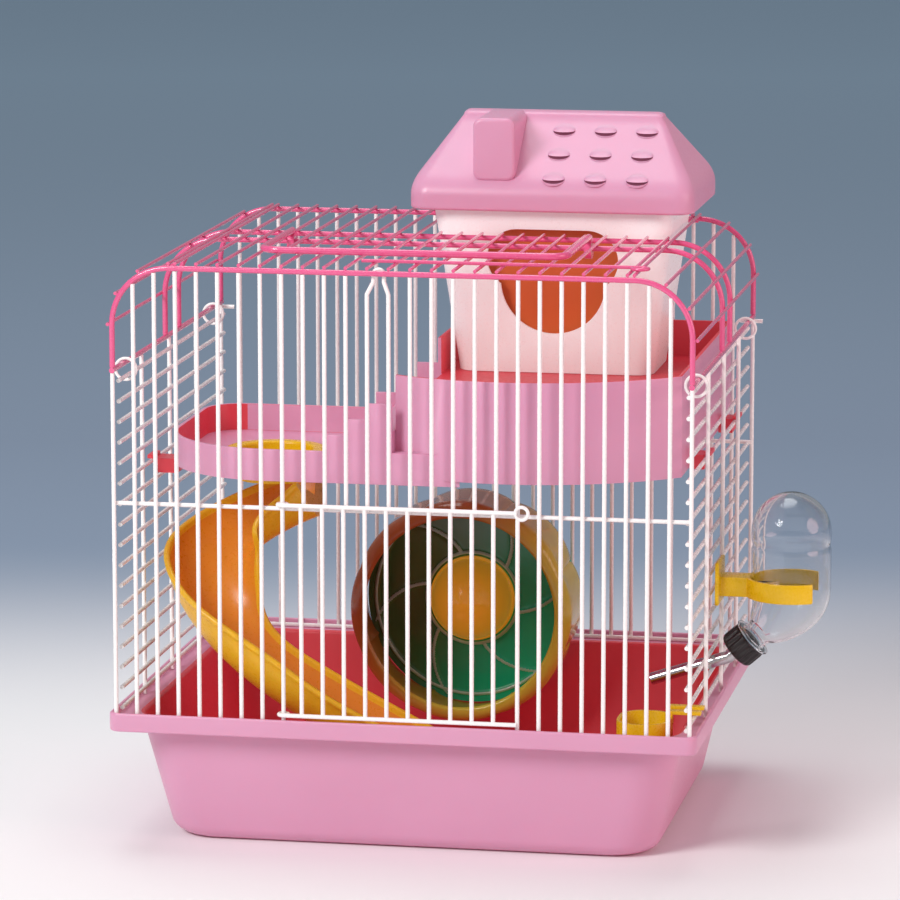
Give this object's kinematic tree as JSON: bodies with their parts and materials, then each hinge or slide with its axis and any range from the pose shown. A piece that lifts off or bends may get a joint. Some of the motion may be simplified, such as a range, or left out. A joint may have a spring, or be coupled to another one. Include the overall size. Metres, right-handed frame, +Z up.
{
  "type": "hamster cage",
  "caption": "Small two-level wire hamster cage with a pink tray and roof, slide, running wheel, side water bottle and a lidded nest house.",
  "frame": {"origin": "middle of the tray's flat underside", "axes": "+X to the cage's right seen from the front, +Y to the back, +Z up"},
  "size_m": [0.3558, 0.2515, 0.359],
  "materials": {
    "white_wire": "gloss white powder coat on steel wire",
    "pink_wire": "gloss pink enamel on steel wire",
    "pink_plastic": "moulded polypropylene, satin gloss",
    "red_plastic": "moulded polypropylene, gloss",
    "white_plastic": "moulded polypropylene, satin gloss",
    "yellow_plastic": "tinted translucent polystyrene, gloss",
    "amber_plastic": "tinted clear polystyrene, gloss",
    "green_plastic": "tinted clear polystyrene, gloss",
    "orange_plastic": "tinted translucent polystyrene, gloss",
    "clear_plastic": "clear polystyrene, gloss",
    "black_plastic": "ribbed black polypropylene",
    "rubber": "soft seal",
    "steel": "polished stainless steel"
  },
  "bodies": {
    "base": {"tray": "pink_plastic"},
    "cage": {"front_wall": "white_wire", "back_wall": "white_wire", "left_wall": "white_wire", "right_wall": "white_wire", "roof_arches": "pink_wire", "roof_wires": "pink_wire", "roof_edge_rails": "pink_wire", "roof_cross_rod": "pink_wire", "front_latch_loop": "white_wire", "wire_rings": "white_wire", "platform": "pink_plastic", "platform_clips": "red_plastic", "slide_collar": "yellow_plastic", "slide": "yellow_plastic", "wheel_bracket": "red_plastic", "wheel_axle": "steel", "wheel_wing_nut": "red_plastic"},
    "door": {"front_door": "white_wire"},
    "handle": {"carry_handle": "pink_wire"},
    "wheel": {"wheel_drum": "amber_plastic", "wheel_disc": "green_plastic", "wheel_hub": "yellow_plastic"},
    "house": {"house_tub": "white_plastic"},
    "flap": {"house_flap": "orange_plastic"},
    "lid": {"house_lid": "pink_plastic"},
    "bottle": {"water_bottle": "clear_plastic", "bottle_cap": "black_plastic", "bottle_seal": "rubber", "drinking_tube": "steel", "bottle_holder": "yellow_plastic"},
    "ball": {"drinking_ball": "steel"},
    "cup": {"food_cup": "yellow_plastic"}
  },
  "joints": [
    {"name": "cage_lift", "type": "slide", "parent": "base", "child": "cage", "axis": [0, 0, 1], "range_m": [0, 0.12]},
    {"name": "front_door_hinge", "type": "hinge", "parent": "cage", "child": "door", "pos_m": [-0.0594, -0.1188, 0.123], "axis": [0, 0, -1], "range_deg": [0, 115]},
    {"name": "carry_handle_swing", "type": "hinge", "parent": "cage", "child": "handle", "pos_m": [-0.0005, -0.008, 0.2966], "axis": [-1, 0, 0], "range_deg": [0, 95]},
    {"name": "wheel_spin", "type": "hinge", "parent": "cage", "child": "wheel", "pos_m": [-0.002, 0.078, 0.0905], "axis": [0, 1, 0], "continuous": true},
    {"name": "house_lift", "type": "slide", "parent": "cage", "child": "house", "axis": [0, 0, 1], "range_m": [0, 0.09]},
    {"name": "house_flap_swing", "type": "hinge", "parent": "house", "child": "flap", "pos_m": [0.052, 0.038, 0.3065], "axis": [1, 0, 0], "range_deg": [0, 65]},
    {"name": "house_lid_lift", "type": "slide", "parent": "house", "child": "lid", "axis": [0, 0, 1], "range_m": [0, 0.06]},
    {"name": "bottle_pull", "type": "slide", "parent": "cage", "child": "bottle", "axis": [0.9489, 0, 0.3156], "range_m": [0, 0.06]},
    {"name": "drinking_ball_push", "type": "slide", "parent": "bottle", "child": "ball", "axis": [0.9489, 0, 0.3156], "range_m": [0, 0.001]},
    {"name": "food_cup_lift", "type": "slide", "parent": "cage", "child": "cup", "axis": [0, 0, 1], "range_m": [0, 0.006]}
  ]
}
